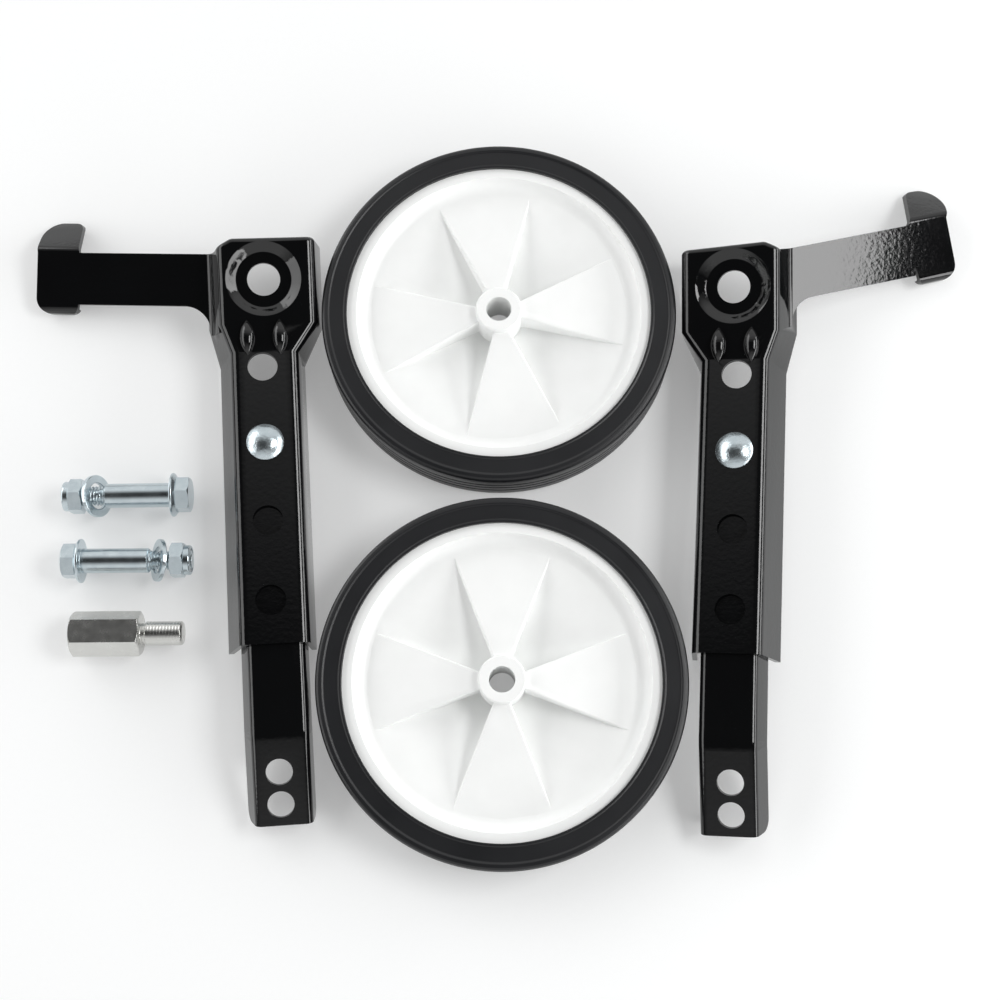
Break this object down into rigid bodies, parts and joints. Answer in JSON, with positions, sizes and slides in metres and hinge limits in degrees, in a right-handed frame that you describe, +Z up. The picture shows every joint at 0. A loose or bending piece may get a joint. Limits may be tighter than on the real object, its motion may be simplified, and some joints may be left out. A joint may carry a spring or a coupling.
{
  "type": "bicycle training wheels",
  "caption": "Bicycle training wheel kit laid flat: bracket arms with hook and extension bar, wheels with rubber tyres, shoulder bolts with washers and lock nuts, and an axle adapter.",
  "frame": {"origin": "under the middle of the whole layout, on the table", "axes": "+X to the right across the layout, +Y away from the viewer, +Z up from the table"},
  "size_m": [0.392, 0.3014, 0.0372],
  "materials": {
    "black_enamel": "gloss black enamel on pressed sheet steel",
    "tyre_rubber": "satin charcoal rubber",
    "white_plastic": "white moulded plastic with a light sheen",
    "zinc_steel": "bright zinc plate with a blue cast",
    "nickel_steel": "dull nickel plate",
    "nylon": "pale nylon"
  },
  "bodies": {
    "kit": {"bracket_left": "black_enamel", "bracket_right": "black_enamel", "extension_bar_left": "black_enamel", "extension_bar_right": "black_enamel", "adjuster_bolt_left": "zinc_steel", "adjuster_bolt_right": "zinc_steel", "adjuster_washer_left": "zinc_steel", "adjuster_washer_right": "zinc_steel", "adjuster_nut_left": "zinc_steel", "adjuster_nut_right": "zinc_steel", "tyre_upper": "tyre_rubber", "tyre_lower": "tyre_rubber", "wheel_disc_upper": "white_plastic", "wheel_disc_lower": "white_plastic", "wheel_bolt_upper": "zinc_steel", "wheel_bolt_lower": "zinc_steel", "bolt_washer_upper": "zinc_steel", "bolt_washer_lower": "zinc_steel", "axle_adapter": "nickel_steel"},
    "nut_upper": {"lock_nut_upper": "zinc_steel", "nylon_ring_upper": "nylon"},
    "nut_lower": {"lock_nut_lower": "zinc_steel", "nylon_ring_lower": "nylon"}
  },
  "joints": [
    {"name": "nut_upper_turn", "type": "hinge", "parent": "kit", "child": "nut_upper", "pos_m": [-0.17294, -0.00008, 0.009], "axis": [-0.9998, -0.0174, 0], "continuous": true},
    {"name": "nut_lower_turn", "type": "hinge", "parent": "kit", "child": "nut_lower", "pos_m": [-0.13025, -0.02676, 0.009], "axis": [1, 0.0087, 0], "continuous": true}
  ]
}
